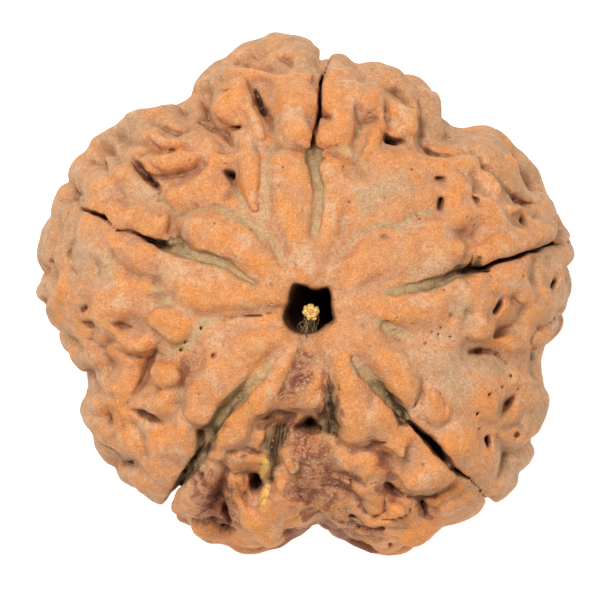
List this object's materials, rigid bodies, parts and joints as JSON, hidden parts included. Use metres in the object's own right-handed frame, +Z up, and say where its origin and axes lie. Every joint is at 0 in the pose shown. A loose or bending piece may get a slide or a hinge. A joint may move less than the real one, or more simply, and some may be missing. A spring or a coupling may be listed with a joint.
{
  "type": "rudraksha seed",
  "caption": "Dry five-lobed rudraksha seed stone with knobbed ridges, lobe slits and a natural pore from pole to pole, for stringing or display.",
  "frame": {"origin": "on the surface that the seed stands on, under the middle of its bounding box", "axes": "+Z up along the pore, from the lower pole to the upper one; +Y towards the lobe shown at the top of the picture; +X to the picture's right"},
  "size_m": [0.024, 0.023, 0.0197],
  "materials": {
    "seed_shell": "dry natural wood, satin on the crests and matt in the furrows",
    "core_pith": "matt dry pith and fibre"
  },
  "bodies": {
    "root": {"seed_stone": "seed_shell", "core_remnant": "core_pith"}
  },
  "joints": []
}
